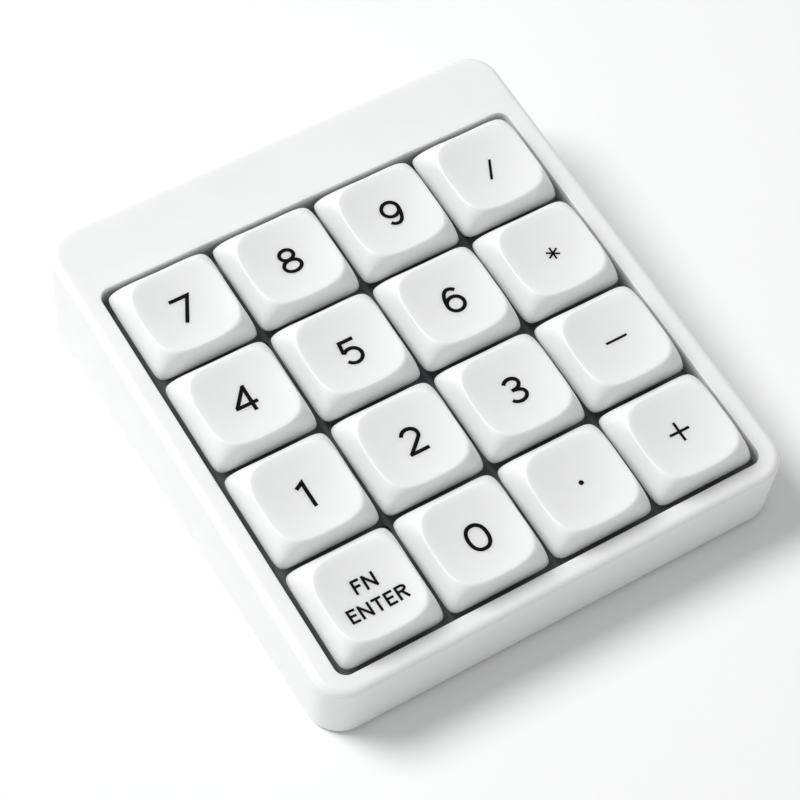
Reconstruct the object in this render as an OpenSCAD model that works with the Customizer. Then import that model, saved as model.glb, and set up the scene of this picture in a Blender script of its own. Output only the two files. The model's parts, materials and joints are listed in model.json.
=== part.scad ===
// Numeric keypad: a wedge-shaped two-part case, sixteen low-profile mechanical key switches
// clipped into a metal plate above a circuit board, and sixteen dished keycaps.
//
// Two frames are used. Every piece is drawn in the key frame: X to the right, Y towards the
// back, Z square to the key field, with its origin at the middle of the field at the height of
// the keycap skirts. on_desk() then tilts the whole keypad and stands it on its feet at Z = 0.

/* [Key field] */
// Distance between neighbouring key centres
key_pitch = 19.05; // [18.9:0.05:19.5]
// Tilt of the key field, high at the back (degrees)
tilt = 5; // [3:0.5:6]
// How far a key travels
travel = 3; // [2:0.1:3]

/* [Keycap] */
// Width of a keycap at the foot of its skirt
cap_width = 18.4; // [17.9:0.1:18.5]
// Width of the dished top across its middle
dish_width = 15.3; // [14.2:0.1:15.6]
// How far the dished top sits in front of the key's centre
dish_forward = 1; // [0:0.1:1.2]
// Height of the bottom of the dish above the skirt
dish_floor = 3.9; // [3.8:0.1:4.4]
// Radius of the sphere that hollows the dish
dish_radius = 33; // [30:1:60]

/* [Case] */
// Gap between the key field and the walls of its opening
field_margin = 0.6; // [0.4:0.1:1]
// Width of the rim at the left and right of the opening
side_rim = 3.7; // [3.5:0.1:6]
// Width of the rim in front of the opening
front_rim = 3.3; // [3.2:0.1:6]
// Depth of the plain top behind the opening
forehead = 13.3; // [13:0.1:18]
// Height of the front wall
front_height = 13.4; // [13.2:0.1:16]
// Radius of the four upright corners
corner_radius = 5.5; // [4:0.5:7]
// Rounding of the top edge
edge_radius = 1.3; // [0.8:0.1:1.6]
// Thickness of the case walls
wall = 2; // [1.8:0.1:2.2]

/* [Switch] */
// Side of the square hole that a switch clips into
switch_hole = 13.8; // [13.8:0.05:14]
// Thickness of the switch plate
plate_thickness = 1.2; // [1:0.1:1.3]
// Thickness of the circuit board
board_thickness = 1.2; // [1:0.1:1.2]

/* [Hidden] */
$fn = 48;
columns = 4;
rows = 4;
first_column = -(columns - 1) / 2;
first_row = (rows - 1) / 2;
KEYS = [
    "7", "8", "9", "divide",
    "4", "5", "6", "multiply",
    "1", "2", "3", "minus",
    "enter", "0", "point", "plus"];
SHARED = [
    "top_case", "bottom_case", "switch_plate", "circuit_board",
    "switch_bases", "switch_covers", "contact_leaves", "switch_sockets",
    "board_components", "usb_receptacle", "case_screws", "rubber_feet"];

// Heights in the key frame, from the keycaps down
cap_ceiling = 2.6;                               // inside top of a keycap, rests on its plunger
cover_top = cap_ceiling - travel - 0.1;
cover_roof = 0.75;
cover_width = 13.9;
cover_corner = 1.5;
shoulder = 0.5;                                  // ledge round the plunger, under the roof
plate_top = -3.2;
plate_bottom = plate_top - plate_thickness;
board_top = plate_top - 2.2;
board_bottom = board_top - board_thickness;
collar = 1;                                      // ledge of a switch base, on the plate
base_floor = 0.5;

// Outline of the case, in the key frame
opening_half = columns * key_pitch / 2 + field_margin;
half_width = opening_half + side_rim;
front_y = -(opening_half + front_rim);
back_y = opening_half + forehead;
case_top = 0.8;
case_lowest = case_top - front_height;
lip = 1.5;                                       // wall round the opening, down to the plate
lip_half = opening_half + lip;
inside_front = front_y + wall;
inside_back = back_y - wall;
inside_corner = 3;
opening_corner = 2;

// Standing on the desk
foot_radius = 4.5;
foot_proud = 0.5;                                // how far the feet stand below the case
foot_thickness = 1.3;
foot_x = 33;
foot_rows = [-33, 36];
bottom_thickness = 2.2;
tab = [8, 1.2];                                  // snap tabs at the front of the bottom
tab_low = case_lowest + 0.5;
tab_high = tab_low + 1.2;
tab_play = 0.2;
lift = foot_proud - front_y * sin(tilt) - case_lowest * cos(tilt);
deep = 40;                                       // taller than the case anywhere
// Reach of the tilted case along the desk: its rounded top front edge and its back foot
reach_front = (front_y + edge_radius) * cos(tilt) - (case_top - edge_radius) * sin(tilt)
    - edge_radius;
back_lowest = (foot_proud - lift - back_y * sin(tilt)) / cos(tilt);
reach_back = back_y * cos(tilt) - back_lowest * sin(tilt);
slide_back = -(reach_front + reach_back) / 2;

// Screws and sockets
screw_shank = 0.95;
screw_tip = plate_top - 0.1;
screw_seat = screw_tip - 7;
boss_end = screw_seat + 2;
board_screws = [for (x = [-key_pitch, key_pitch], y = [-key_pitch, key_pitch]) [x, y]];
case_screw_x = 33;
case_screw_y = back_y - 7.7;
back_screws = [[-case_screw_x, case_screw_y], [case_screw_x, case_screw_y]];
pillar_radius = 3;                               // pillars of the bottom, round the screws

// Switch footprint on the board
post_radius = 1.7;
post_bottom = board_top - 2.8;
post_floor = 0.3;
peg_x = 5.5;
peg_radius = 0.95;
pin_places = [[0, 5.6], [5, 3.8]];
pin_width = 0.9;
pin_thickness = 0.2;
pin_bottom = board_top - 2.8;
socket_bottom = board_bottom - 1.8;
barrel_radius = 1.45;
prong_x = 2.85;                                  // the keycap's two prongs
prong = [1.2, 3];
prong_tip = cap_ceiling - 3.2;
slot_bottom = cap_ceiling - 3.3;
spring_radius = 1.25;
spring_wire = 0.25;

// USB receptacle
usb_size = [8.94, 7.3, 3.26];
usb_mouth = back_y - 0.3;
usb_z = board_top + usb_size[2] / 2;

function column_of(i) = i % columns;
function row_of(i) = floor(i / columns);
function key_place(i) =
    [(first_column + column_of(i)) * key_pitch, (first_row - row_of(i)) * key_pitch, 0];

// Tilts the keypad about X and stands it on the desk
module on_desk() translate([0, slide_back, lift]) rotate([tilt, 0, 0]) children();

module at_every_key() for (i = [0 : len(KEYS) - 1]) translate(key_place(i)) children();

// Square or rectangle with exactly round corners
module rounded(size, r) {
    square([size[0] - 2 * r, size[1]], center = true);
    square([size[0], size[1] - 2 * r], center = true);
    for (x = [-1, 1], y = [-1, 1])
        translate([x * (size[0] / 2 - r), y * (size[1] / 2 - r)]) circle(r);
}

// A plain block, centred in X and Y, between two heights
module block(size, low, high) translate([-size[0] / 2, -size[1] / 2, low])
    cube([size[0], size[1], high - low]);

module rod(r, low, high) translate([0, 0, low]) cylinder(r = r, h = high - low);

// ---- Keycap -------------------------------------------------------------------------------

// The outside is a stack of rings, each a squircle: half its width, its squareness (2 is a
// circle, large is a square) and its height as a share of the way from the skirt to the rim.
cap_steps = 48;
square_foot = 12;
square_rim = 3.4;
bulge = 1.25;                 // more than 1 makes the sides of a keycap swell outwards
wall_rings = [0, 0.25, 0.5, 0.75, 1];
dish_rings = [0.85, 0.65, 0.42, 0.2];

function mix(a, b, t) = a + (b - a) * t;
function squircle(half, squareness, angle) = half
    / pow(pow(abs(cos(angle)), squareness) + pow(abs(sin(angle)), squareness), 1 / squareness);
function dish_height(r) = dish_floor + r * r / (2 * dish_radius);
function step_angle(k) = 360 * k / cap_steps;
function polar(r, angle, forward, z) = [r * cos(angle), r * sin(angle) - forward, z];

function wall_point(t, angle) =
    let (
        inward = pow(t, bulge),
        half = mix(cap_width, dish_width, inward) / 2,
        r = squircle(half, mix(square_foot, square_rim, inward), angle),
        rim = squircle(dish_width / 2, square_rim, angle))
    polar(r, angle, inward * dish_forward, t * dish_height(rim));
function dish_point(t, angle) =
    let (r = squircle(t * dish_width / 2, mix(2, square_rim, t), angle))
    polar(r, angle, dish_forward, dish_height(r));

module cap_outside() {
    rings = concat(
        [for (t = wall_rings) [for (k = [0 : cap_steps - 1]) wall_point(t, step_angle(k))]],
        [for (t = dish_rings) [for (k = [0 : cap_steps - 1]) dish_point(t, step_angle(k))]]);
    last = (len(rings) - 1) * cap_steps;
    dish_centre = len(rings) * cap_steps;
    foot_centre = dish_centre + 1;
    polyhedron(
        points = concat([for (ring = rings) each ring], [[0, -dish_forward, dish_floor], [0, 0, 0]]),
        faces = [for (k = [0 : cap_steps - 1]) let (next = (k + 1) % cap_steps) each concat(
            [[k, next, foot_centre]],
            [for (a = [0 : cap_steps : last - cap_steps])
                [a + next, a + k, a + k + cap_steps, a + next + cap_steps]],
            [[last + next, last + k, dish_centre]])]);
}

module keycap(i) {
    skirt_cavity = 15.9;                         // clears the collar of the switch base
    skirt_step = 0.9;                            // where the cavity narrows round the cover
    cover_play = 0.3;
    cavity = cover_width + cover_play;
    color([0.95, 0.95, 0.95]) on_desk() translate(key_place(i)) {
        difference() {
            cap_outside();
            block([skirt_cavity, skirt_cavity], -1, skirt_step);
            linear_extrude(cap_ceiling) rounded([cavity, cavity], cover_corner + cover_play);
        }
        for (side = [-1, 1])
            translate([side * prong_x, 0, 0]) block(prong, prong_tip, cap_ceiling + 0.2);
    }
}

// ---- Switch -------------------------------------------------------------------------------

plunger_size = [10.4, 5.2];
shoulder_size = [11.4, 6.4];
shoulder_top = cover_top - cover_roof;
shoulder_bottom = shoulder_top - shoulder;
pocket_roof = slot_bottom + 0.1;
pocket_radius = spring_radius + 0.15;
slot_play = 0.04;
chamber = 12.15;              // inside width of a switch

module plunger(i) {
    color([0.72, 0.72, 0.74]) on_desk() translate(key_place(i)) difference() {
        union() {
            block(plunger_size, shoulder_top, cap_ceiling);
            block(shoulder_size, shoulder_bottom, shoulder_top);
        }
        for (side = [-1, 1])
            translate([side * prong_x, 0, 0])
                block([prong[0] + slot_play, prong[1] + slot_play], slot_bottom, cap_ceiling + 1);
        rod(pocket_radius, shoulder_bottom - 1, pocket_roof);
    }
}

// The coil takes up this sleeve; its upper end meets the plunger, its lower end the base
module spring(i) {
    color([0.8, 0.8, 0.78]) on_desk() translate(key_place(i)) difference() {
        rod(spring_radius, post_bottom + post_floor + 0.05, pocket_roof - 0.05);
        rod(spring_radius - spring_wire, post_bottom, 0);
    }
}

module switch_bases() {
    socket_play = 0.05;
    collar_width = 15;
    body_width = switch_hole - 0.05;
    color([0.16, 0.16, 0.17]) on_desk() at_every_key() difference() {
        union() {
            block([collar_width, collar_width], plate_top, plate_top + collar);
            block([body_width, body_width], board_top, plate_top);
            rod(post_radius, post_bottom, board_top);
            for (side = [-1, 1])
                translate([side * peg_x, 0, 0]) rod(peg_radius, board_top - 1.5, board_top);
        }
        block([chamber, chamber], board_top + base_floor, 0);
        rod(spring_radius + 0.1, post_bottom + post_floor, 0);
        for (place = pin_places)
            translate(place)
                block([pin_width + 2 * socket_play, pin_thickness + 2 * socket_play],
                    board_top - 1, board_top + 1);
    }
}

module switch_covers() {
    slide_play = 0.1;
    color([0.22, 0.22, 0.23]) on_desk() at_every_key() difference() {
        translate([0, 0, plate_top + collar]) linear_extrude(cover_top - plate_top - collar)
            rounded([cover_width, cover_width], cover_corner);
        block([chamber, chamber], 2 * plate_top, cover_top - cover_roof);
        block([plunger_size[0] + 2 * slide_play, plunger_size[1] + 2 * slide_play],
            2 * plate_top, 0);
    }
}

// Two leaves in each switch: a fixed one, and one that the plunger lets spring against it
module contact_leaves() {
    floor_top = board_top + base_floor;
    leaf_low = floor_top + 0.1;
    fixed_width = 3;
    fixed_top = floor_top + 2;
    moving_width = 3.2;
    moving_shift = -1.2;
    moving_top = floor_top + 1.8;
    bend = [pin_thickness, 1.5];
    bend_place = [-2.7, 0.65];
    color([0.83, 0.62, 0.34]) on_desk() at_every_key() {
        for (place = pin_places)
            translate(place) block([pin_width, pin_thickness], pin_bottom, leaf_low + 0.4);
        translate(pin_places[0]) block([fixed_width, pin_thickness], leaf_low, fixed_top);
        translate(pin_places[1]) {
            translate([moving_shift, 0]) block([moving_width, pin_thickness], leaf_low, moving_top);
            translate(bend_place) block(bend, leaf_low + 0.5, moving_top);
        }
    }
}

// ---- Plate, board and what is on it ---------------------------------------------------------

module plate_outline(front, back) translate([0, (front + back) / 2])
    rounded([2 * (lip_half - 0.2), back - front], 1);

module switch_plate() {
    color([0.48, 0.5, 0.5]) on_desk() translate([0, 0, plate_bottom])
        linear_extrude(plate_thickness) difference() {
            plate_outline(inside_front + 0.1, lip_half - 0.1);
            at_every_key() square(switch_hole, center = true);
            for (place = board_screws) translate(place) circle(screw_shank + 0.05);
        }
}

module circuit_board() {
    hole_play = 0.05;
    color([0.06, 0.17, 0.12]) on_desk() translate([0, 0, board_bottom])
        linear_extrude(board_thickness) difference() {
            plate_outline(inside_front + 0.6, inside_back - 0.4);
            at_every_key() {
                circle(post_radius + hole_play);
                for (side = [-1, 1]) translate([side * peg_x, 0]) circle(peg_radius + hole_play);
                for (place = pin_places) translate(place) circle(barrel_radius + hole_play);
            }
            for (place = board_screws) translate(place) circle(screw_shank + 0.35);
            for (place = back_screws) translate(place) circle(pillar_radius);
        }
}

module switch_sockets() {
    outline = [
        [-2.4, 3.9], [2.6, 3.9], [2.6, 2.1], [7.4, 2.1],
        [7.4, 5.7], [4.6, 5.7], [2.6, 7.4], [-2.4, 7.4]];
    bore_radius = 0.55;
    color([0.2, 0.2, 0.21]) on_desk() at_every_key() difference() {
        union() {
            translate([0, 0, socket_bottom])
                linear_extrude(board_bottom - socket_bottom) polygon(outline);
            for (place = pin_places) translate(place) rod(barrel_radius, board_bottom - 1, board_top);
        }
        for (place = pin_places)
            translate(place) rod(bore_radius, socket_bottom - 1, board_top + 1);
    }
}

module board_components() {
    diode = [1.6, 2.7];
    diode_place = [-5.2, -4.4];
    part_y = inside_back - 5.5;
    color([0.09, 0.09, 0.1]) on_desk() {
        at_every_key() translate(diode_place) block(diode, board_bottom - 1.1, board_bottom);
        translate([-17, part_y]) block([7, 7], board_top, board_top + 0.9);      // controller
        translate([-25, part_y]) block([3.2, 2.5], board_top, board_top + 0.7);  // crystal
        translate([12, part_y]) block([2.9, 1.6], board_top, board_top + 1.1);   // regulator
        translate([18, part_y]) block([2, 1.25], board_top, board_top + 1.2);    // capacitor
    }
}

// Flat-sided tube with round ends, as seen from the back of the keypad
module usb_outline(grow) rounded([usb_size[0] + 2 * grow, usb_size[2] + 2 * grow],
    usb_size[2] / 2 + grow - 0.3);

module usb_along(from, to) translate([0, to, usb_z]) rotate([90, 0, 0])
    linear_extrude(to - from) children();

module usb_receptacle() {
    shell = 0.3;
    tongue = [6.7, 0.7];
    tongue_tip = usb_mouth - 0.8;
    back = usb_mouth - usb_size[1];
    back_wall = 1.3;
    color([0.75, 0.76, 0.78]) on_desk() {
        difference() {
            usb_along(back, usb_mouth) usb_outline(0);
            usb_along(back + back_wall, usb_mouth + 1) usb_outline(-shell);
        }
        usb_along(back + back_wall / 2, tongue_tip) square(tongue, center = true);
    }
}

// ---- Case -----------------------------------------------------------------------------------

// Everything below the desk side of the case, in the desk frame
module below(height) translate([-deep * 2, -deep * 2, height - deep]) cube([deep * 4, deep * 4, deep]);

module case_outside() {
    hull() {
        translate([0, (front_y + back_y) / 2, -deep]) linear_extrude(deep + case_top - edge_radius)
            rounded([2 * half_width, back_y - front_y], corner_radius);
        for (x = [-1, 1], y = [front_y + corner_radius, back_y - corner_radius])
            translate([x * (half_width - corner_radius), y, case_top - edge_radius])
                rotate_extrude() translate([corner_radius - edge_radius, 0])
                    circle(edge_radius, $fn = 24);
    }
}

module case_inside(low, high, front, back) translate([0, (front + back) / 2, low])
    linear_extrude(high - low) rounded([2 * lip_half, back - front], inside_corner);

module top_case() {
    roof = 2;
    boss_radius = 2.75;
    usb_play = 0.3;
    color([0.96, 0.96, 0.96]) difference() {
        on_desk() difference() {
            union() {
                difference() {
                    case_outside();
                    case_inside(-deep - 1, plate_top, inside_front, inside_back);
                    case_inside(plate_top - 1, case_top - roof, lip_half, inside_back);
                }
                for (place = back_screws)
                    translate(place) rod(boss_radius, boss_end, case_top - roof / 2);
            }
            translate([0, 0, plate_top - 1]) linear_extrude(deep)
                rounded([2 * opening_half, 2 * opening_half], opening_corner);
            for (place = back_screws)
                translate(place) rod(screw_shank + 0.05, boss_end - 1, screw_tip + 0.5);
            usb_along(inside_back - 1, back_y + 1) usb_outline(usb_play);
            for (side = [-1, 1])
                translate([side * key_pitch, inside_front, 0])
                    block([tab[0] + 3 * tab_play, tab[1] + 2 * tab_play],
                        tab_low - tab_play, tab_high + tab_play);
        }
        below(foot_proud);
    }
}

module bottom_case() {
    play = 0.15;
    head_bore = 2.1;
    shank_bore = screw_shank + 0.25;
    color([0.93, 0.93, 0.93]) difference() {
        union() {
            intersection() {
                on_desk() case_inside(-deep, 0, inside_front + play, inside_back - play);
                translate([0, 0, foot_proud]) block([3 * deep, 3 * deep], 0, bottom_thickness);
            }
            difference() {
                on_desk() {
                    for (place = board_screws)
                        translate(place) rod(pillar_radius, -deep, board_bottom);
                    for (place = back_screws) translate(place) rod(pillar_radius, -deep, boss_end);
                }
                below(foot_proud);
            }
            on_desk() for (side = [-1, 1])
                translate([side * key_pitch, inside_front, 0]) block(tab, tab_low, tab_high);
        }
        on_desk() for (place = concat(board_screws, back_screws)) translate(place) {
            rod(head_bore, -deep - 1, screw_seat);
            rod(shank_bore, screw_seat - 1, 0);
        }
        for (x = [-foot_x, foot_x], y = foot_rows)
            translate([x, y + slide_back, 0]) rod(foot_radius + 0.1, 0, foot_thickness);
    }
}

module case_screws() {
    head_radius = 1.9;
    head = 1.2;
    recess = [2, 0.5];
    recess_depth = 0.6;
    color([0.25, 0.25, 0.26]) on_desk() for (place = concat(board_screws, back_screws))
        translate(place) difference() {
            union() {
                rod(head_radius, screw_seat - head, screw_seat);
                rod(screw_shank, screw_seat, screw_tip);
            }
            for (angle = [0, 90])
                rotate(angle)
                    block(recess, screw_seat - head - 1, screw_seat - head + recess_depth);
        }
}

module rubber_feet() {
    color([0.3, 0.3, 0.31])
        for (x = [-foot_x, foot_x], y = foot_rows)
            translate([x, y + slide_back, 0]) rod(foot_radius, 0, foot_thickness);
}

// ---- The keypad -------------------------------------------------------------------------------

top_case();
bottom_case();
switch_plate();
circuit_board();
switch_bases();
switch_covers();
contact_leaves();
switch_sockets();
board_components();
usb_receptacle();
case_screws();
rubber_feet();
for (i = [0 : len(KEYS) - 1]) {
    keycap(i);
    plunger(i);
    spring(i);
}
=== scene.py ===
"""Numeric keypad: detailed pieces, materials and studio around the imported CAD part.

Pieces are drawn in the key frame, in millimetres: X to the right, Y towards the back, Z square
to the key field, with its origin at the middle of the field at the height of the keycap skirts.
add_piece() puts them into the row frame, in metres.
"""

import json
import math

import bmesh
import bpy
import numpy as np
from mathutils import Matrix, Vector


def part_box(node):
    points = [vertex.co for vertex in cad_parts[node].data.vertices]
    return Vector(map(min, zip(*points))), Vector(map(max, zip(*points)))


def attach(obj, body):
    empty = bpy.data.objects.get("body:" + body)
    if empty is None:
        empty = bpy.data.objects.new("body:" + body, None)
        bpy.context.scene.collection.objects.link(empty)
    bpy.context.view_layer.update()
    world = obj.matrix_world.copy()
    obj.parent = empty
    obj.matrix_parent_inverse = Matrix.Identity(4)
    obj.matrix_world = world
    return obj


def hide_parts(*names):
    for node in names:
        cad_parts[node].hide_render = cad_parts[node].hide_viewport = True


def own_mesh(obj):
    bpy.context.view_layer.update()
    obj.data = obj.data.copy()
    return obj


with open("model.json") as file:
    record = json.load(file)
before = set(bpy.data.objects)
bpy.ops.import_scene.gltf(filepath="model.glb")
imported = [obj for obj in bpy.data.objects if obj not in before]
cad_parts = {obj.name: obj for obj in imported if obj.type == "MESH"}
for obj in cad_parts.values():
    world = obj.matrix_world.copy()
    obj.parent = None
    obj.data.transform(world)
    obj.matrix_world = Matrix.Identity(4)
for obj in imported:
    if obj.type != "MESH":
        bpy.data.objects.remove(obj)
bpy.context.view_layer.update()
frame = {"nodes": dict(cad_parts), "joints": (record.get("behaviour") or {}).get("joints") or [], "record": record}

MM = 0.001
X, Y, Z = 0, 1, 2

# ---- The key frame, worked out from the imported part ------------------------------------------

JOINTS = {joint["name"]: joint for joint in frame["joints"]}
KEYS = [name.removeprefix("press_") for name in JOINTS]
press_axis = Vector(frame["joints"][0]["axis"])
tilt = math.atan2(press_axis.y, -press_axis.z)
TILTED = np.array(Matrix.Rotation(tilt, 3, "X"))


def level_points(node):
    """Points of a CAD node in millimetres, turned so that its key field is level."""
    points = np.array([v.co for v in frame["nodes"][node].data.vertices])
    return points @ TILTED / MM


def middle(points):
    return (points.min(0) + points.max(0)) / 2


def skirt_level(node):
    """Height of a keycap's skirt: its prongs reach lower, but only near its middle."""
    points = level_points(node)
    reach = np.abs(points - middle(points))[:, X]
    return points[reach > 0.9 * reach.max(), Z].min()


plunger_middles = {key: middle(level_points("plunger_" + key)) for key in KEYS}
field_middle = np.mean(list(plunger_middles.values()), axis=0)
ORIGIN = np.array([0, field_middle[Y], skirt_level("keycap_" + KEYS[0])])
KEY_PLACES = {key: (plunger_middles[key] - ORIGIN)[:2] for key in KEYS}
PITCH = KEY_PLACES[KEYS[1]][X] - KEY_PLACES[KEYS[0]][X]


def extent(node):
    """Lowest and highest corner of a CAD node in the key frame."""
    points = level_points(node) - ORIGIN
    return points.min(0), points.max(0)


def to_row(points):
    return (np.asarray(points) + ORIGIN) @ TILTED.T * MM


def on_desk(shape):
    """A shape drawn upright in the row frame, in millimetres, given in the key frame."""
    return shape[0] @ TILTED - ORIGIN, shape[1]


def desk_height(y, height):
    """Height in the key frame of the plane that is that far above the desk, at depth y."""
    return (height - (y + ORIGIN[Y]) * math.sin(tilt)) / math.cos(tilt) - ORIGIN[Z]


# ---- Mesh building ---------------------------------------------------------------------------


def rounded_ring(half_x, half_y, r, z, centre=(0, 0), steps=6):
    """Loop round a rectangle with round corners; z is a height, or gives one for each depth y.

    Each straight side also gets a point just past its ends, which keeps its shading flat.
    """
    past_end = max(0, min(0.2, half_x - r, half_y - r))
    points = []
    for quarter, (sx, sy) in enumerate([(1, 1), (-1, 1), (-1, -1), (1, -1)]):
        for k in range(-1, steps + 2):
            turn = min(max(k, 0), steps)
            angle = math.radians(90 * (quarter + turn / steps))
            x = centre[0] + sx * (half_x - r) + r * math.cos(angle)
            y = centre[1] + sy * (half_y - r) + r * math.sin(angle)
            x -= (k - turn) * past_end * math.sin(angle)
            y += (k - turn) * past_end * math.cos(angle)
            points.append((x, y, z(y) if callable(z) else z))
    return np.array(points)


def loft(rings, closed=False):
    """Skin over loops of equal point counts. It is capped at both ends, or closed on itself."""
    n = len(rings[0])
    points = np.concatenate(rings)
    faces = []
    for a in range(len(rings) if closed else len(rings) - 1):
        b = (a + 1) % len(rings)
        for k in range(n):
            m = (k + 1) % n
            faces.append((a * n + k, a * n + m, b * n + m, b * n + k))
    if not closed:
        faces.append(tuple(range(n)))
        faces.append(tuple(range(len(points) - n, len(points))))
    return points, faces


def join(shapes):
    points, faces, count = [], [], 0
    for shape_points, shape_faces in shapes:
        points.append(shape_points)
        faces += [tuple(i + count for i in face) for face in shape_faces]
        count += len(shape_points)
    return np.concatenate(points), faces


def moved(shape, offset):
    return shape[0] + np.array([*offset, 0, 0])[:3], shape[1]


def at_every_key(shape):
    return join([moved(shape, KEY_PLACES[key]) for key in KEYS])


def facing_back(shape, y, z):
    """Turns a shape drawn upwards so that its top faces the back, around a line at that height."""
    points = shape[0]
    turned_points = np.stack([-points[:, X], points[:, Z] + y, points[:, Y] + z], axis=1)
    return turned_points, shape[1]


def block(half_x, half_y, low, high, corner=0.3, bevel=0.15, centre=(0, 0), steps=4):
    """Block with round upright edges and softened ends."""
    rings = []
    for end, inward in ((low, 1), (high, -1)):
        softened = []
        for k in range(4):
            turn = math.radians(30 * k)
            inset = bevel * (1 - math.sin(turn))
            softened.append(rounded_ring(
                half_x - inset, half_y - inset, max(corner - inset, 0.01),
                end + inward * bevel * (1 - math.cos(turn)), centre, steps))
        rings += softened if inward == 1 else softened[::-1]
    return loft(rings)


def rod(radius, low, high, bevel=0.1, centre=(0, 0), steps=8):
    return block(radius, radius, low, high, radius, bevel, centre, steps)


def lathe(profile, centre=(0, 0), steps=8):
    """Solid turned from a closed outline of (radius, height) corners."""
    return loft([rounded_ring(r, r, r, z, centre, steps) for r, z in profile], closed=True)


def make_mesh(name, shape):
    mesh = bpy.data.meshes.new(name)
    mesh.from_pydata(to_row(shape[0]).tolist(), [], shape[1])
    work = bmesh.new()
    work.from_mesh(mesh)
    bmesh.ops.remove_doubles(work, verts=work.verts, dist=1e-7)
    bmesh.ops.recalc_face_normals(work, faces=work.faces)
    work.to_mesh(mesh)
    work.free()
    return mesh


def carve(shape, tool, operation="DIFFERENCE"):
    """The shape with another cut out of it, or united with it."""
    objects = []
    for points, faces in (shape, tool):
        mesh = bpy.data.meshes.new("carving")
        mesh.from_pydata(points.tolist(), [], faces)
        work = bmesh.new()
        work.from_mesh(mesh)
        bmesh.ops.remove_doubles(work, verts=work.verts, dist=1e-5)
        bmesh.ops.recalc_face_normals(work, faces=work.faces)
        work.to_mesh(mesh)
        work.free()
        objects.append(bpy.data.objects.new("carving", mesh))
        bpy.context.scene.collection.objects.link(objects[-1])
    change = objects[0].modifiers.new("carve", "BOOLEAN")
    change.operation = operation
    change.solver = "EXACT"
    change.object = objects[1]
    depsgraph = bpy.context.evaluated_depsgraph_get()
    result = bpy.data.meshes.new_from_object(objects[0].evaluated_get(depsgraph))
    carved = np.array([v.co for v in result.vertices]), [tuple(p.vertices) for p in result.polygons]
    for o in objects:
        bpy.data.objects.remove(o)
    bpy.data.meshes.remove(result)
    return carved


def smooth(piece, sharp_angle=35):
    for polygon in piece.data.polygons:
        polygon.use_smooth = True
    piece.data.set_sharp_from_angle(angle=math.radians(sharp_angle))


def add_piece(name, shape, body, material, replaces=()):
    """A finished piece that rides a body and stands for the CAD nodes it replaces."""
    piece = bpy.data.objects.new(name, make_mesh(name, shape))
    bpy.context.scene.collection.objects.link(piece)
    piece.data.materials.append(material)
    smooth(piece)
    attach(piece, body)
    if replaces:
        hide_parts(*replaces)
    return piece


# ---- Materials -------------------------------------------------------------------------------


def new_material(name, color, roughness, metallic=0.0, specular=0.5):
    material = bpy.data.materials.new(name)
    material.use_nodes = True
    shader = material.node_tree.nodes["Principled BSDF"]
    shader.inputs["Base Color"].default_value = (*color, 1)
    shader.inputs["Roughness"].default_value = roughness
    shader.inputs["Metallic"].default_value = metallic
    shader.inputs["Specular IOR Level"].default_value = specular
    return material, material.node_tree, shader


def noise(tree, size_mm, detail=3.0, stretch=(1, 1, 1)):
    """Noise with features of about that size, fixed to the piece."""
    place = tree.nodes.new("ShaderNodeTexCoord")
    mapping = tree.nodes.new("ShaderNodeMapping")
    mapping.inputs["Scale"].default_value = stretch
    texture = tree.nodes.new("ShaderNodeTexNoise")
    texture.inputs["Scale"].default_value = 1 / (size_mm * MM)
    texture.inputs["Detail"].default_value = detail
    tree.links.new(place.outputs["Object"], mapping.inputs["Vector"])
    tree.links.new(mapping.outputs["Vector"], texture.inputs["Vector"])
    return texture.outputs["Fac"]


def map_range(tree, value, low, high):
    node = tree.nodes.new("ShaderNodeMapRange")
    node.inputs["From Min"].default_value = 0.3
    node.inputs["From Max"].default_value = 0.7
    node.inputs["To Min"].default_value = low
    node.inputs["To Max"].default_value = high
    tree.links.new(value, node.inputs["Value"])
    return node.outputs["Result"]


def mottle(tree, shader, color, size_mm, amount):
    """Varies the colour by a share either way, in patches of about that size."""
    ramp = tree.nodes.new("ShaderNodeValToRGB")
    ramp.color_ramp.elements[0].position = 0.35
    ramp.color_ramp.elements[1].position = 0.65
    for element, share in zip(ramp.color_ramp.elements, (1 - amount, 1 + amount)):
        element.color = (*(min(1, c * share) for c in color), 1)
    tree.links.new(noise(tree, size_mm, 4.0), ramp.inputs["Fac"])
    tree.links.new(ramp.outputs["Color"], shader.inputs["Base Color"])


def bump(tree, shader, height, depth_mm):
    node = tree.nodes.new("ShaderNodeBump")
    node.inputs["Strength"].default_value = 1.0
    node.inputs["Distance"].default_value = depth_mm * MM
    tree.links.new(height, node.inputs["Height"])
    tree.links.new(node.outputs["Normal"], shader.inputs["Normal"])


def moulded_plastic(name, color, roughness, grain_mm=0.25, depth_mm=0.004, amount=0.01,
                    scatter=0.0):
    """Satin moulding: a fine spark-eroded grain, and faint changes of tone and gloss.

    A share of the light may scatter under the surface, which softens the shadows of white parts.
    """
    material, tree, shader = new_material(name, color, roughness)
    shader.inputs["Subsurface Weight"].default_value = scatter
    shader.inputs["Subsurface Radius"].default_value = (1, 1, 1)
    shader.inputs["Subsurface Scale"].default_value = 1.8 * MM
    mottle(tree, shader, color, 9.0, amount)
    tree.links.new(
        map_range(tree, noise(tree, 1.5), roughness - 0.05, roughness + 0.05),
        shader.inputs["Roughness"])
    bump(tree, shader, noise(tree, grain_mm, 2.0), depth_mm)
    return material


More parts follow.
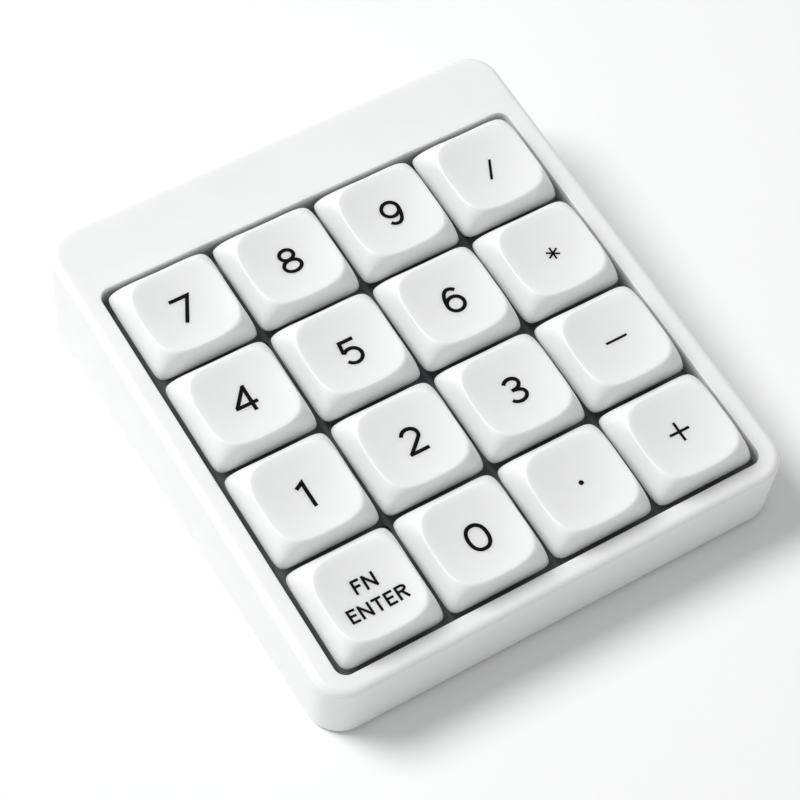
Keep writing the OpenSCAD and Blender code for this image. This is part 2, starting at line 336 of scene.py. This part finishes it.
def metal(name, color, roughness, stretch=(1, 1, 1), grain_mm=0.3, depth_mm=0.002):
    """Bare or plated metal with drawing or rolling marks along one direction."""
    material, tree, shader = new_material(name, color, roughness, metallic=1.0)
    mottle(tree, shader, color, 3.0, 0.06)
    tree.links.new(
        map_range(tree, noise(tree, grain_mm, 4.0, stretch), roughness - 0.08, roughness + 0.12),
        shader.inputs["Roughness"])
    bump(tree, shader, noise(tree, grain_mm, 3.0, stretch), depth_mm)
    return material


def ink(name, color):
    """Printed black, with the slightly uneven cover of pad printing."""
    material, tree, shader = new_material(name, color, 0.6, specular=0.08)
    mottle(tree, shader, color, 0.15, 0.4)
    bump(tree, shader, noise(tree, 0.08, 2.0), 0.001)
    return material


def rubber(name, color):
    material, tree, shader = new_material(name, color, 0.85, specular=0.3)
    mottle(tree, shader, color, 0.8, 0.15)
    bump(tree, shader, noise(tree, 0.2, 5.0), 0.02)
    return material


def solder_mask(name, color, track_color):
    """Lacquered board with faint copper tracks under the lacquer."""
    material, tree, shader = new_material(name, color, 0.25)
    place = tree.nodes.new("ShaderNodeTexCoord")
    cells = tree.nodes.new("ShaderNodeTexVoronoi")
    cells.distance = "CHEBYCHEV"
    cells.feature = "F1"
    cells.inputs["Scale"].default_value = 1 / (2.4 * MM)
    ramp = tree.nodes.new("ShaderNodeValToRGB")
    ramp.color_ramp.interpolation = "CONSTANT"
    ramp.color_ramp.elements[0].color = (*track_color, 1)
    ramp.color_ramp.elements[1].color = (*color, 1)
    ramp.color_ramp.elements[1].position = 0.3
    tree.links.new(place.outputs["Object"], cells.inputs["Vector"])
    tree.links.new(cells.outputs["Distance"], ramp.inputs["Fac"])
    tree.links.new(ramp.outputs["Color"], shader.inputs["Base Color"])
    bump(tree, shader, noise(tree, 0.5), 0.003)
    return material


CASE_WHITE = (0.86, 0.865, 0.865)
CAP_WHITE = (0.84, 0.85, 0.845)
MATERIALS = {
    "case_plastic": moulded_plastic("case_plastic", CASE_WHITE, 0.42, scatter=0.5),
    "keycap_plastic": moulded_plastic("keycap_plastic", CAP_WHITE, 0.46, 0.3, 0.003, 0.008, 0.8),
    "legend_ink": ink("legend_ink", (0.003, 0.003, 0.004)),
    "plate_metal": moulded_plastic("plate_metal", (0.2, 0.22, 0.225), 0.55, 0.12, 0.01, 0.1),
    "board_laminate": solder_mask("board_laminate", (0.012, 0.05, 0.03), (0.03, 0.11, 0.06)),
    "switch_housing": moulded_plastic("switch_housing", (0.035, 0.035, 0.038), 0.5),
    "switch_cover": moulded_plastic("switch_cover", (0.05, 0.05, 0.055), 0.45),
    "plunger_plastic": moulded_plastic("plunger_plastic", (0.45, 0.45, 0.47), 0.35),
    "spring_steel": metal("spring_steel", (0.62, 0.62, 0.6), 0.3, (1, 1, 4)),
    "contact_metal": metal("contact_metal", (0.85, 0.6, 0.3), 0.3, (6, 1, 1)),
    "socket_plastic": moulded_plastic("socket_plastic", (0.04, 0.04, 0.045), 0.55),
    "chip_package": moulded_plastic("chip_package", (0.015, 0.015, 0.017), 0.6, 0.05, 0.004),
    "connector_steel": metal("connector_steel", (0.62, 0.63, 0.65), 0.25, (1, 8, 1)),
    "screw_steel": metal("screw_steel", (0.06, 0.06, 0.065), 0.4),
    "foot_rubber": rubber("foot_rubber", (0.16, 0.16, 0.165)),
}
for subpart in frame["record"]["subparts"]:
    slots = frame["nodes"][subpart["node"]].data.materials
    slots.clear()
    slots.append(MATERIALS[subpart["material_slot"]])

# ---- Keycaps ---------------------------------------------------------------------------------

cap_low, cap_high = extent("keycap_" + KEYS[0])
cap_width = cap_high[X] - cap_low[X]
dish_width = 15.3
dish_forward = 1.0
dish_floor = 3.9
dish_radius = 33.0
cap_ceiling = 2.6
prong_x = 2.85
square_foot = 12.0       # squareness of the outline: 2 is a circle, large is a square
square_rim = 3.4
bulge = 1.25             # more than 1 makes the sides swell outwards
cap_steps = 128


def cap_angle(k):
    """Angle of one step round a keycap; steps crowd together at its corners."""
    even = 2 * math.pi * k / cap_steps
    return even + 0.15 * math.sin(4 * even)


def squircle(half, squareness, angle):
    across = abs(math.cos(angle)) ** squareness + abs(math.sin(angle)) ** squareness
    return half / across ** (1 / squareness)


def mix(a, b, t):
    return a + (b - a) * t


def dish_height(r):
    return dish_floor + r * r / (2 * dish_radius)


def polar(r, angle, forward, z):
    return np.array([r * math.cos(angle), r * math.sin(angle) - forward, z])


def wall_point(t, angle):
    """Point on the sloping side, from the skirt at t = 0 to the rim at t = 1."""
    inward = t ** bulge
    half, squareness = mix(cap_width, dish_width, inward) / 2, mix(square_foot, square_rim, inward)
    r, rim = squircle(half, squareness, angle), squircle(dish_width / 2, square_rim, angle)
    return polar(r, angle, inward * dish_forward, t * dish_height(rim))


def dish_point(t, angle):
    r = squircle(t * dish_width / 2, mix(2, square_rim, t), angle)
    return polar(r, angle, dish_forward, dish_height(r))


def rim_point(t, angle, wall_share=0.05, dish_share=0.035):
    """Point on the rounded rim: a curve that leaves the side and runs into the dish."""
    start, corner = wall_point(1 - wall_share, angle), wall_point(1, angle)
    end = dish_point(1 - dish_share, angle)
    return (1 - t) ** 2 * start + 2 * t * (1 - t) * corner + t * t * end


def cap_ring(point):
    return np.array([point(cap_angle(k)) for k in range(cap_steps)])


def inner_ring(half, squareness, z):
    return cap_ring(lambda angle: polar(squircle(half, squareness, angle), angle, 0, z))


def keycap_shape():
    """Shell with a two-step cavity, which clears the switch below, and two prongs."""
    skirt_cavity, square_skirt, skirt_step = 7.95, 14, 0.9
    cavity, square_cavity, cavity_fillet = 7.1, 9, 0.3
    foot = 0.08
    rings = [
        inner_ring(0.4, 2, cap_ceiling),
        inner_ring(cavity - cavity_fillet, square_cavity, cap_ceiling),
        inner_ring(cavity, square_cavity, cap_ceiling - cavity_fillet),
        inner_ring(cavity, square_cavity, skirt_step + 0.1),
        inner_ring(cavity + 0.1, square_cavity, skirt_step),
        inner_ring(skirt_cavity, square_skirt, skirt_step),
        inner_ring(skirt_cavity, square_skirt, 0.1),
        inner_ring(skirt_cavity + 0.1, square_skirt, 0)]
    for k in range(4):
        turn = math.radians(30 * k)
        inset = foot * (1 - math.sin(turn))
        rings.append(inner_ring(cap_width / 2 - inset, square_foot, foot * (1 - math.cos(turn))))
    rings += [cap_ring(lambda a, t=t: wall_point(t, a)) for t in np.linspace(0.08, 0.88, 9)]
    rings += [cap_ring(lambda a, t=t: rim_point(t, a)) for t in np.linspace(0, 1, 9)]
    rings += [cap_ring(lambda a, t=t: dish_point(t, a)) for t in np.linspace(0.92, 0.04, 15)]
    prong_low = cap_low[Z]
    prongs = [
        block(0.6, 1.5, prong_low, cap_ceiling + 0.2, 0.15, 0.12, (side * prong_x, 0))
        for side in (-1, 1)]
    return join([loft(rings), *prongs])


# ---- Legends ---------------------------------------------------------------------------------

digit_height = 4.95
pen = 0.64                       # width of a digit's strokes
top = (digit_height - pen) / 2   # highest and lowest centre line of a digit


def line(*corners, gap=0.5):
    """Points along straight stretches, close enough together to follow the dish."""
    points = [np.array(corners[0], float)]
    for a, b in zip(corners[:-1], corners[1:]):
        a, b = np.array(a, float), np.array(b, float)
        count = max(1, math.ceil(np.linalg.norm(b - a) / gap))
        points += [a + (b - a) * k / count for k in range(1, count + 1)]
    return points


def arc(centre, radii, start, end, squareness=2.0):
    """Points along a stretch of an ellipse, or of a squarer oval, between angles in degrees."""
    count = max(3, math.ceil(abs(end - start) / 7))
    points = []
    for k in range(count + 1):
        angle = math.radians(mix(start, end, k / count))
        r = squircle(1, squareness, angle)
        points.append(np.array(centre) + r * np.array(radii) * (math.cos(angle), math.sin(angle)))
    return points


def nine():
    bowl = (1.46, 1.4)
    middle_y = top - bowl[1]
    tail = [*arc((0, middle_y), (bowl[0], middle_y + top), 0, -90),
            *arc((0, 1.15 - top), (1.3, 1.15), -95, -150)]
    return [(arc((0, middle_y), bowl, 0, 360), pen), (tail, pen)]


def half_turn(strokes):
    return [([-point for point in points], width) for points, width in strokes]


def letters(word, height, width):
    """Strokes of a word of upright capitals, centred."""
    low, high, half = -height / 2 + width / 2, height / 2 - width / 2, height / 2
    shapes = {
        "E": (1.30, lambda w: [line((w, high), (0, high), (0, low), (w, low)),
                               line((0, 0.03 * height), (0.88 * w, 0.03 * height))]),
        "N": (1.62, lambda w: [line((0, -half), (0, half)), line((w, -half), (w, half)),
                               line((0.04, high), (w - 0.04, low))]),
        "T": (1.66, lambda w: [line((0, high), (w, high)), line((w / 2, high), (w / 2, -half))]),
        "R": (1.38, lambda w: [line((0, -half), (0, half)),
                               [*line((0, high), (0.52 * w, high)),
                                *arc((0.52 * w, 0.24 * height), (0.48 * w, high - 0.24 * height),
                                     85, -85),
                                *line((0.52 * w, 0.48 * height - high), (0, 0.48 * height - high))],
                               line((0.5 * w, 0.48 * height - high), (w, -half))]),
        "F": (1.26, lambda w: [line((w, high), (0, high)), line((0, half), (0, -half)),
                               line((0, 0.02 * height), (0.88 * w, 0.02 * height))]),
    }
    spacing = 0.62
    total = sum(shapes[c][0] for c in word) + spacing * (len(word) - 1)
    at, strokes = -total / 2, []
    for c in word:
        advance, draw = shapes[c]
        strokes += [([p + (at, 0) for p in points], width) for points in draw(advance)]
        at += advance + spacing
    return strokes


def raised(strokes, y):
    return [([point + (0, y) for point in points], width) for points, width in strokes]


sign_pen = 0.46
GLYPHS = {
    "7": [(line((-1.77, top), (1.52, top), (-0.92, -top - pen / 2)), pen)],
    "8": [(arc((0, 1.17), (1.2, top - 1.17), 0, 360), pen),
          (arc((0, -1.02), (1.5, top - 1.02), 0, 360), pen)],
    "9": nine(),
    "divide": [(line((-0.9, -1.82), (0.9, 1.82)), sign_pen)],
    "4": [(line((0.93, top + pen / 2), (0.93, -top - pen / 2)), pen),
          (line((-1.95, -0.97), (1.95, -0.97)), pen),
          (line((0.82, top - 0.05), (-1.66, -0.9)), pen)],
    "5": [(line((1.45, top), (-1.02, top), (-1.26, 0.1)), pen),
          (arc((0, -0.75), (1.48, top - 0.75), 146, -152), pen)],
    "6": half_turn(nine()),
    "multiply": [(line((-1.18 * math.sin(a), -1.18 * math.cos(a)),
                       (1.18 * math.sin(a), 1.18 * math.cos(a))), 0.33)
                 for a in (0, math.pi / 3, -math.pi / 3)],
    "1": [(line((-0.8, 1.45), (0.53, top), (0.53, -top - pen / 2)), pen)],
    "2": [([*arc((0, top - 1.24), (1.4, 1.24), 163, -28), *line((1.0, 0.1), (-1.45, -2.15))], pen),
          (line((-1.72, -top), (1.72, -top)), pen)],
    "3": [(arc((-0.1, 1.15), (1.28, top - 1.15), 158, -92), pen),
          (arc((-0.1, -1.07), (1.42, top - 1.07), 92, -158), pen),
          (line((-0.62, 0.09), (0, 0.09)), pen)],
    "minus": [(line((-1.96, 0), (1.96, 0)), 0.42)],
    "enter": [*raised(letters("FN", 2.5, 0.43), 2.0), *raised(letters("ENTER", 2.5, 0.43), -2.1)],
    "0": [(arc((0, 0), (1.66, top), 0, 360, 2.25), pen)],
    "point": [(arc((0, 0), (0.21, 0.21), 0, 360), 0.43)],
    "plus": [(line((-1.82, 0), (1.82, 0)), sign_pen), (line((0, -1.78), (0, 1.78)), sign_pen)],
}


# Measured distance of each legend from its drawn place, to the right and to the back
PRINT_SHIFT = {
    "7": (-0.15, -0.05), "9": (0.33, 0.1), "divide": (0.15, -0.17),
    "4": (-0.18, -0.1), "5": (-0.06, -0.5), "6": (0.3, 0), "multiply": (0.3, -0.08),
    "1": (-0.17, -0.2), "2": (0.17, 0.07), "3": (0.1, 0.08), "minus": (0.33, 0.22),
    "enter": (0, -0.42), "0": (0.1, -0.17), "point": (0.15, 0.14), "plus": (-0.33, 0.25)}


def on_dish(x, y, lift_off):
    return (x, y - dish_forward, dish_height(math.hypot(x, y)) + lift_off)


def stroke_shape(points, width, shift, ink=0.012, sunk=0.03):
    """A flat ribbon of ink along a centre line, with mitred corners, laid over the dish."""
    points = [point + shift for point in points]
    points = [p for k, p in enumerate(points) if k == 0 or np.linalg.norm(p - points[k - 1]) > 1e-6]
    closed = np.linalg.norm(points[0] - points[-1]) < 1e-6
    if closed:
        points = points[:-1]
    rings = []
    for k, point in enumerate(points):
        before = points[k - 1] if closed or k > 0 else point
        after = points[(k + 1) % len(points)] if closed or k + 1 < len(points) else point
        into = (point - before) / max(np.linalg.norm(point - before), 1e-9)
        out = (after - point) / max(np.linalg.norm(after - point), 1e-9)
        along = into + out
        along /= np.linalg.norm(along)
        side = np.array([-along[1], along[0]])
        cosine = max(abs(along @ out), abs(along @ into), 0.4)
        reach = side * width / 2 / cosine
        a, b = point + reach, point - reach
        rings.append(np.array([
            on_dish(*a, ink), on_dish(*b, ink), on_dish(*b, -sunk), on_dish(*a, -sunk)]))
    return loft(rings, closed)


# ---- Case ------------------------------------------------------------------------------------

case_low, case_high = extent("top_case")
half_width, front_y, back_y, case_top = case_high[X], case_low[Y], case_high[Y], case_high[Z]
desk_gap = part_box("top_case")[0].z / MM
plate_top = extent("switch_plate")[1][Z]
board_low, board_high = extent("circuit_board")
field_margin, lip, case_wall = 0.6, 1.5, 2
opening_half = 2 * PITCH + field_margin
lip_half = opening_half + lip
inside_front, inside_back = front_y + case_wall, back_y - case_wall
usb_low, usb_high = extent("usb_receptacle")
usb_size = usb_high - usb_low
usb_middle = (usb_low[Z] + usb_high[Z]) / 2
board_screws = [(x, y) for x in (-PITCH, PITCH) for y in (-PITCH, PITCH)]
back_screw_x, back_screw_inset = 33, 7.7
back_screws = [(x, back_y - back_screw_inset) for x in (-back_screw_x, back_screw_x)]
screw_low, screw_high = extent("case_screws")
screw_tip = screw_high[Z]
screw_head, screw_grip = 1.2, 2
screw_seat = screw_low[Z] + screw_head
boss_end, boss_radius, boss_hole = screw_seat + screw_grip, 2.75, 1.0
foot_low, foot_high = (np.array(corner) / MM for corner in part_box("rubber_feet"))
foot_radius, foot_thickness = 4.5, foot_high[Z]
foot_places = [(x, y) for x in (foot_low[X] + foot_radius, foot_high[X] - foot_radius)
               for y in (foot_low[Y] + foot_radius, foot_high[Y] - foot_radius)]


def case_ring(inset, z, r=5.5):
    centre = (0, (front_y + back_y) / 2)
    return rounded_ring(
        half_width - inset, (back_y - front_y) / 2 - inset, r - inset, z, centre, 12)


def inside_ring(grow, z):
    centre = (0, (inside_front + inside_back) / 2)
    return rounded_ring(
        lip_half + grow, (inside_back - inside_front) / 2 + grow, 3 + grow, z, centre, 12)


def opening_ring(grow, z):
    return rounded_ring(opening_half + grow, opening_half + grow, 2 + grow, z, (0, 0), 12)


def top_case_shell():
    edge, mouth, hem = 1.3, 0.18, 0.35
    support = 0.08

    def hem_height(up):
        return lambda y: desk_height(y, desk_gap) + up

    rings = [inside_ring(0, hem_height(0)), case_ring(hem + support, hem_height(0))]
    for k in range(5):
        turn = math.radians(22.5 * k)
        rings.append(case_ring(hem * (1 - math.sin(turn)), hem_height(hem * (1 - math.cos(turn)))))
    rings.append(case_ring(0, hem_height(hem + support)))
    rings.append(case_ring(0, case_top - edge - support))
    for k in range(10):
        turn = math.radians(10 * k)
        rings.append(case_ring(edge * (1 - math.cos(turn)), case_top - edge * (1 - math.sin(turn))))
    rings.append(case_ring(edge + support, case_top))
    rings.append(opening_ring(mouth + support, case_top))
    for k in range(7):
        turn = math.radians(15 * k)
        rings.append(opening_ring(
            mouth * (1 - math.sin(turn)), case_top - mouth * (1 - math.cos(turn))))
    rings.append(opening_ring(0, case_top - mouth - support))
    rings.append(opening_ring(0, plate_top))
    rings.append(inside_ring(0, plate_top))
    return loft(rings, closed=True)


def usb_ring(grow, z):
    half_x, half_z = usb_size[X] / 2 + grow, usb_size[Z] / 2 + grow
    return rounded_ring(half_x, half_z, half_z - 0.02, z, (0, 0), 8)


def top_case_shape():
    roof = case_top - case_wall
    cavity_middle = (lip_half + inside_back) / 2
    cavity = block(lip_half, inside_back - cavity_middle, plate_top - 1, roof, 3, 0.3,
                   (0, cavity_middle))
    slot = loft([usb_ring(0.3, -4), usb_ring(0.3, 1.8), usb_ring(0.5, 2), usb_ring(0.5, 4)])
    shell = carve(top_case_shell(), cavity)
    shell = carve(shell, facing_back(slot, inside_back, usb_middle))
    bosses = [lathe([(boss_hole, boss_end), (boss_radius - 0.3, boss_end),
                     (boss_radius, boss_end + 0.3), (boss_radius, roof + 0.2),
                     (boss_hole, roof + 0.2)], place) for place in back_screws]
    return join([shell, *bosses])


def bottom_case_shape():
    """Floor plate with rounded hem, screw pillars, counterbores and recesses for the feet."""
    play, hem, thickness, pillar_radius = 0.15, 0.4, 2.2, 3.0
    head_bore, shank_bore, bore_depth = 2.1, 1.2, -40

    def floor_ring(inset, up):
        return inside_ring(-play - inset, lambda y: desk_height(y, desk_gap + up))

    rings = []
    for k in range(5):
        turn = math.radians(22.5 * k)
        rings.append(floor_ring(hem * (1 - math.sin(turn)), hem * (1 - math.cos(turn))))
    rings += [floor_ring(0, thickness - 0.15), floor_ring(0.15, thickness)]
    pillars = [rod(pillar_radius, desk_height(y, desk_gap + 1), board_low[Z], 0.2, (x, y))
               for x, y in board_screws]
    pillars += [rod(pillar_radius, desk_height(y, desk_gap + 1), boss_end, 0.2, (x, y))
                for x, y in back_screws]
    bore = [(0, bore_depth), (head_bore, bore_depth), (head_bore, screw_seat),
            (shank_bore, screw_seat), (shank_bore, 0), (0, 0)]
    bores = [lathe(bore, place) for place in board_screws + back_screws]
    recesses = [on_desk(rod(foot_radius + 0.1, -1, foot_thickness, 0.05, place, 12))
                for place in foot_places]
    shape = carve(loft(rings), join(pillars), "UNION")
    shape = carve(shape, join(bores))
    return carve(shape, join(recesses))


def screws_shape():
    """Pan-head screws with cross recesses and threaded shanks."""
    head_radius, shank, pitch, depth = 1.9, 0.95, 0.45, 0.14
    head_low = screw_low[Z]
    profile = [(0, head_low)]
    profile += [(head_radius - 0.5 * (1 - math.sin(math.radians(a))),
                 head_low + 0.5 * (1 - math.cos(math.radians(a)))) for a in (0, 30, 60, 90)]
    profile += [(head_radius, screw_seat), (shank, screw_seat)]
    for k in range(int((screw_tip - screw_seat - 1) / pitch)):
        z = screw_seat + 0.4 + k * pitch
        profile += [(shank, z), (shank - depth, z + pitch / 2)]
    profile += [(shank, screw_tip - 0.4), (shank - 0.35, screw_tip), (0, screw_tip)]
    places = board_screws + back_screws
    shape = join([lathe(profile, place) for place in places])
    for half_x, half_y in ((1.0, 0.25), (0.25, 1.0)):
        recess = [block(half_x, half_y, head_low - 1, head_low + 0.6, 0.1, 0.05, place)
                  for place in places]
        shape = carve(shape, join(recess))
    return shape


def feet_shape():
    """Rubber discs with a rounded rim and a shallow ring pressed into the sole."""
    r, t = foot_radius, foot_thickness
    rim = [(r - 0.35 * (1 - math.sin(a)), 0.35 * (1 - math.cos(a)))
           for a in np.radians([0, 22.5, 45, 67.5, 90])]
    profile = [(0, 0), (r - 1.7, 0), (r - 1.6, 0.12), (r - 1.2, 0.12), (r - 1.1, 0), *rim,
               (r, t - 0.1), (r - 0.1, t), (0, t)]
    return join([on_desk(lathe(profile, place, 16)) for place in foot_places])


def usb_shell_shape():
    """Drawn shell with a rolled mouth."""
    length, wall = usb_size[Y], 0.3
    rings = [usb_ring(-0.4, 0), usb_ring(-0.12, 0.04), usb_ring(0, 0.3), usb_ring(0, length - 0.12),
             usb_ring(-0.05, length), usb_ring(-wall + 0.05, length), usb_ring(-wall, length - 0.1),
             usb_ring(-wall, 1.3)]
    return facing_back(loft(rings), usb_low[Y], usb_middle)


def usb_tongue_shape():
    length = usb_size[Y]
    return facing_back(block(3.35, 0.35, 1, length - 0.8, 0.1, 0.1), usb_low[Y], usb_middle)


def usb_contacts_shape():
    """Twelve contact strips on each face of the tongue, half a millimetre apart."""
    length, spacing = usb_size[Y], 0.5
    strips = [block(0.12, 0.03, 1.4, length - 1.2, 0.02, 0.02, ((k - 5.5) * spacing, side * 0.34), 1)
              for k in range(12) for side in (-1, 1)]
    return facing_back(join(strips), usb_low[Y], usb_middle)


# ---- Switches --------------------------------------------------------------------------------

cover_top = extent("switch_covers")[1][Z]
base_low, base_high = extent("switch_bases")
spring_low, spring_high = (corner[Z] for corner in extent("spring_" + KEYS[0]))
collar_top = base_high[Z]
chamber = 6.075
post_radius, pocket_radius = 1.7, 1.35


def round_ring(r, z):
    return rounded_ring(r, r, r, z)


def square_ring(half, r, z):
    return rounded_ring(half, half, r, z)


def switch_base_shape():
    """Cup that clips into the plate, with a hollow centre post and two locating pegs."""
    body, collar, floor_top = 6.875, 7.5, board_high[Z] + 0.5
    rings = [
        round_ring(pocket_radius, base_low[Z] + 0.3), round_ring(pocket_radius, floor_top - 0.1),
        round_ring(pocket_radius + 0.1, floor_top), square_ring(chamber, 0.4, floor_top),
        square_ring(chamber, 0.4, collar_top - 0.1), square_ring(chamber + 0.1, 0.5, collar_top),
        square_ring(collar - 0.25, 0.6, collar_top), square_ring(collar, 0.8, collar_top - 0.25),
        square_ring(collar, 0.8, plate_top), square_ring(body, 0.5, plate_top),
        square_ring(body, 0.5, plate_top - 1.3), square_ring(body - 0.2, 0.5, plate_top - 1.4),
        square_ring(body - 0.2, 0.5, board_high[Z] + 0.15),
        square_ring(body - 0.35, 0.4, board_high[Z]),
        round_ring(post_radius, board_high[Z]), round_ring(post_radius, base_low[Z] + 0.4),
        round_ring(post_radius - 0.4, base_low[Z])]
    pegs = [rod(0.95, board_high[Z] - 1.5, board_high[Z] + 0.2, 0.25, (side * 5.5, 0), 4)
            for side in (-1, 1)]
    return join([loft(rings), *pegs])


def switch_cover_shape():
    """Lid with a chamfered top and a guided mouth for the plunger."""
    half, roof, play = 6.95, 0.75, 0.1
    mouth_x, mouth_y = 5.2 + play, 2.6 + play
    rings = [
        square_ring(half, 1.5, collar_top), square_ring(half, 1.5, cover_top - 0.35),
        square_ring(half - 0.12, 1.4, cover_top - 0.12), square_ring(half - 0.35, 1.2, cover_top),
        rounded_ring(mouth_x + 0.5, mouth_y + 0.5, 0.7, cover_top),
        rounded_ring(mouth_x + 0.4, mouth_y + 0.4, 0.6, cover_top - 0.2),
        rounded_ring(mouth_x + 0.1, mouth_y + 0.1, 0.3, cover_top - 0.2),
        rounded_ring(mouth_x, mouth_y, 0.2, cover_top - 0.3),
        rounded_ring(mouth_x, mouth_y, 0.2, cover_top - roof),
        square_ring(chamber, 0.5, cover_top - roof), square_ring(chamber, 0.5, collar_top)]
    return loft(rings, closed=True)


def plunger_shape():
    """Slider with two slots for the keycap's prongs, a retaining shoulder and a spring pocket."""
    shoulder_low = extent("plunger_" + KEYS[0])[0][Z]
    shoulder_top = shoulder_low + 0.5
    slot_half_x, slot_half_y, slot_low = 0.62, 1.52, cap_ceiling - 3.3
    body = block(5.2, 2.6, shoulder_top - 0.1, cap_ceiling, 0.15, 0.15)
    shoulder = block(5.7, 3.2, shoulder_low, shoulder_top, 0.3, 0.12)
    shape = carve(body, shoulder, "UNION")
    slots = [block(slot_half_x, slot_half_y, slot_low, cap_ceiling + 1, 0.1, 0.05,
                   (side * prong_x, 0)) for side in (-1, 1)]
    shape = carve(shape, join(slots))
    return carve(shape, rod(spring_radius + 0.15, shoulder_low - 1, slot_low + 0.1, 0.05))


spring_radius, spring_wire = 1.25, 0.25


def spring_shape():
    """Compression coil with closed ends."""
    centre_radius, turns, steps, sides = spring_radius - spring_wire / 2, 9, 20, 8
    low, high = spring_low + spring_wire / 2, spring_high - spring_wire / 2
    rings = []
    for k in range(turns * steps + 1):
        share, turn = k / (turns * steps), 2 * math.pi * k / steps
        closing = 0.5 * math.sin(2 * math.pi * share) / (2 * math.pi)
        z = mix(low, high, share - closing)
        outward = np.array([math.cos(turn), math.sin(turn), 0])
        ring = [outward * (centre_radius + spring_wire / 2 * math.cos(a))
                + (0, 0, z + spring_wire / 2 * math.sin(a))
                for a in 2 * math.pi * np.arange(sides) / sides]
        rings.append(np.array(ring))
    return loft(rings)


# ---- Putting the keypad together -------------------------------------------------------------


def add_case():
    plastic = MATERIALS["case_plastic"]
    add_piece("case_shell", top_case_shape(), "case", plastic, ["top_case"])
    add_piece("case_floor", bottom_case_shape(), "case", plastic, ["bottom_case"])
    add_piece("screws", screws_shape(), "case", MATERIALS["screw_steel"],
              ["case_screws"])
    add_piece("feet", feet_shape(), "case", MATERIALS["foot_rubber"],
              ["rubber_feet"])
    add_piece("usb_shell", usb_shell_shape(), "case", MATERIALS["connector_steel"],
              ["usb_receptacle"])
    add_piece("usb_tongue", usb_tongue_shape(), "case", MATERIALS["chip_package"])
    add_piece("usb_contacts", usb_contacts_shape(), "case", MATERIALS["contact_metal"])


def add_switches():
    add_piece("bases", at_every_key(switch_base_shape()), "case", MATERIALS["switch_housing"],
              ["switch_bases"])
    add_piece("covers", at_every_key(switch_cover_shape()), "case", MATERIALS["switch_cover"],
              ["switch_covers"])
    plunger, spring = plunger_shape(), spring_shape()
    for key, place in KEY_PLACES.items():
        add_piece("slider_" + key, moved(plunger, place), "key_" + key,
                  MATERIALS["plunger_plastic"], ["plunger_" + key])
        coil = add_piece("coil_" + key, moved(spring, place), "case",
                         MATERIALS["spring_steel"], ["spring_" + key])
        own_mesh(coil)


def add_keycaps():
    keycap = keycap_shape()
    for key, place in KEY_PLACES.items():
        add_piece("cap_" + key, moved(keycap, place), "key_" + key,
                  MATERIALS["keycap_plastic"], ["keycap_" + key])
        shift = np.array(PRINT_SHIFT.get(key, (0, 0)))
        ink = join([stroke_shape(points, width, shift) for points, width in GLYPHS[key]])
        add_piece("legend_" + key, moved(ink, place), "key_" + key,
                  MATERIALS["legend_ink"])


add_case()
add_switches()
add_keycaps()

# ---- Studio ----------------------------------------------------------------------------------


def make_floor():
    size, floor_white = 3.0, (0.93, 0.935, 0.935)
    bpy.ops.mesh.primitive_plane_add(size=size, location=(0, 0, 0))
    floor = bpy.context.object
    floor.name = "studio_floor"
    material, tree, shader = new_material("studio_floor", floor_white, 0.6, specular=0.2)
    mottle(tree, shader, floor_white, 60.0, 0.004)
    bump(tree, shader, noise(tree, 0.6), 0.004)
    floor.data.materials.append(material)


def aim(thing, azimuth, elevation, distance, target, roll=0.0):
    """Places a lamp or camera round a target, as seen from the front, and points it there."""
    a, e = math.radians(azimuth), math.radians(elevation)
    back = Vector((math.sin(a) * math.cos(e), -math.cos(a) * math.cos(e), math.sin(e)))
    thing.location = Vector(target) + back * distance
    turn = Matrix.Rotation(math.radians(roll), 4, "Z")
    thing.matrix_world = (
        Matrix.Translation(thing.location) @ (-back).to_track_quat("-Z", "Y").to_matrix().to_4x4()
        @ turn)


def add_area_light(name, azimuth, elevation, distance, size, power, target):
    data = bpy.data.lights.new(name, "AREA")
    data.shape = "DISK"
    data.size = size
    data.energy = power
    light = bpy.data.objects.new(name, data)
    bpy.context.scene.collection.objects.link(light)
    aim(light, azimuth, elevation, distance, target)
    return light


def make_studio():
    make_floor()
    target = (0, 0, 0.015)
    add_area_light("key_light", azimuth=-134, elevation=53, distance=1.6, size=0.76, power=19.6,
                   target=target)
    world = bpy.data.worlds.new("studio")
    world.use_nodes = True
    world.node_tree.nodes["Background"].inputs["Color"].default_value = (1, 1, 1, 1)
    world.node_tree.nodes["Background"].inputs["Strength"].default_value = 0.46
    bpy.context.scene.world = world
    bpy.context.scene.view_settings.view_transform = "Standard"
    bpy.context.scene.view_settings.look = "None"


def make_camera():
    """Looks from the front left, well above the keypad, through a long lens."""
    data = bpy.data.cameras.new("camera")
    data.lens = 116.66
    data.sensor_width = 36.0
    data.clip_start, data.clip_end = 0.01, 20
    camera = bpy.data.objects.new("camera", data)
    bpy.context.scene.collection.objects.link(camera)
    target = Vector(to_row((-6.13, -1.71, 0.6)))
    aim(camera, azimuth=-33.41, elevation=55.308, distance=0.4098, target=target, roll=2.561)
    bpy.context.scene.camera = camera


make_studio()
make_camera()
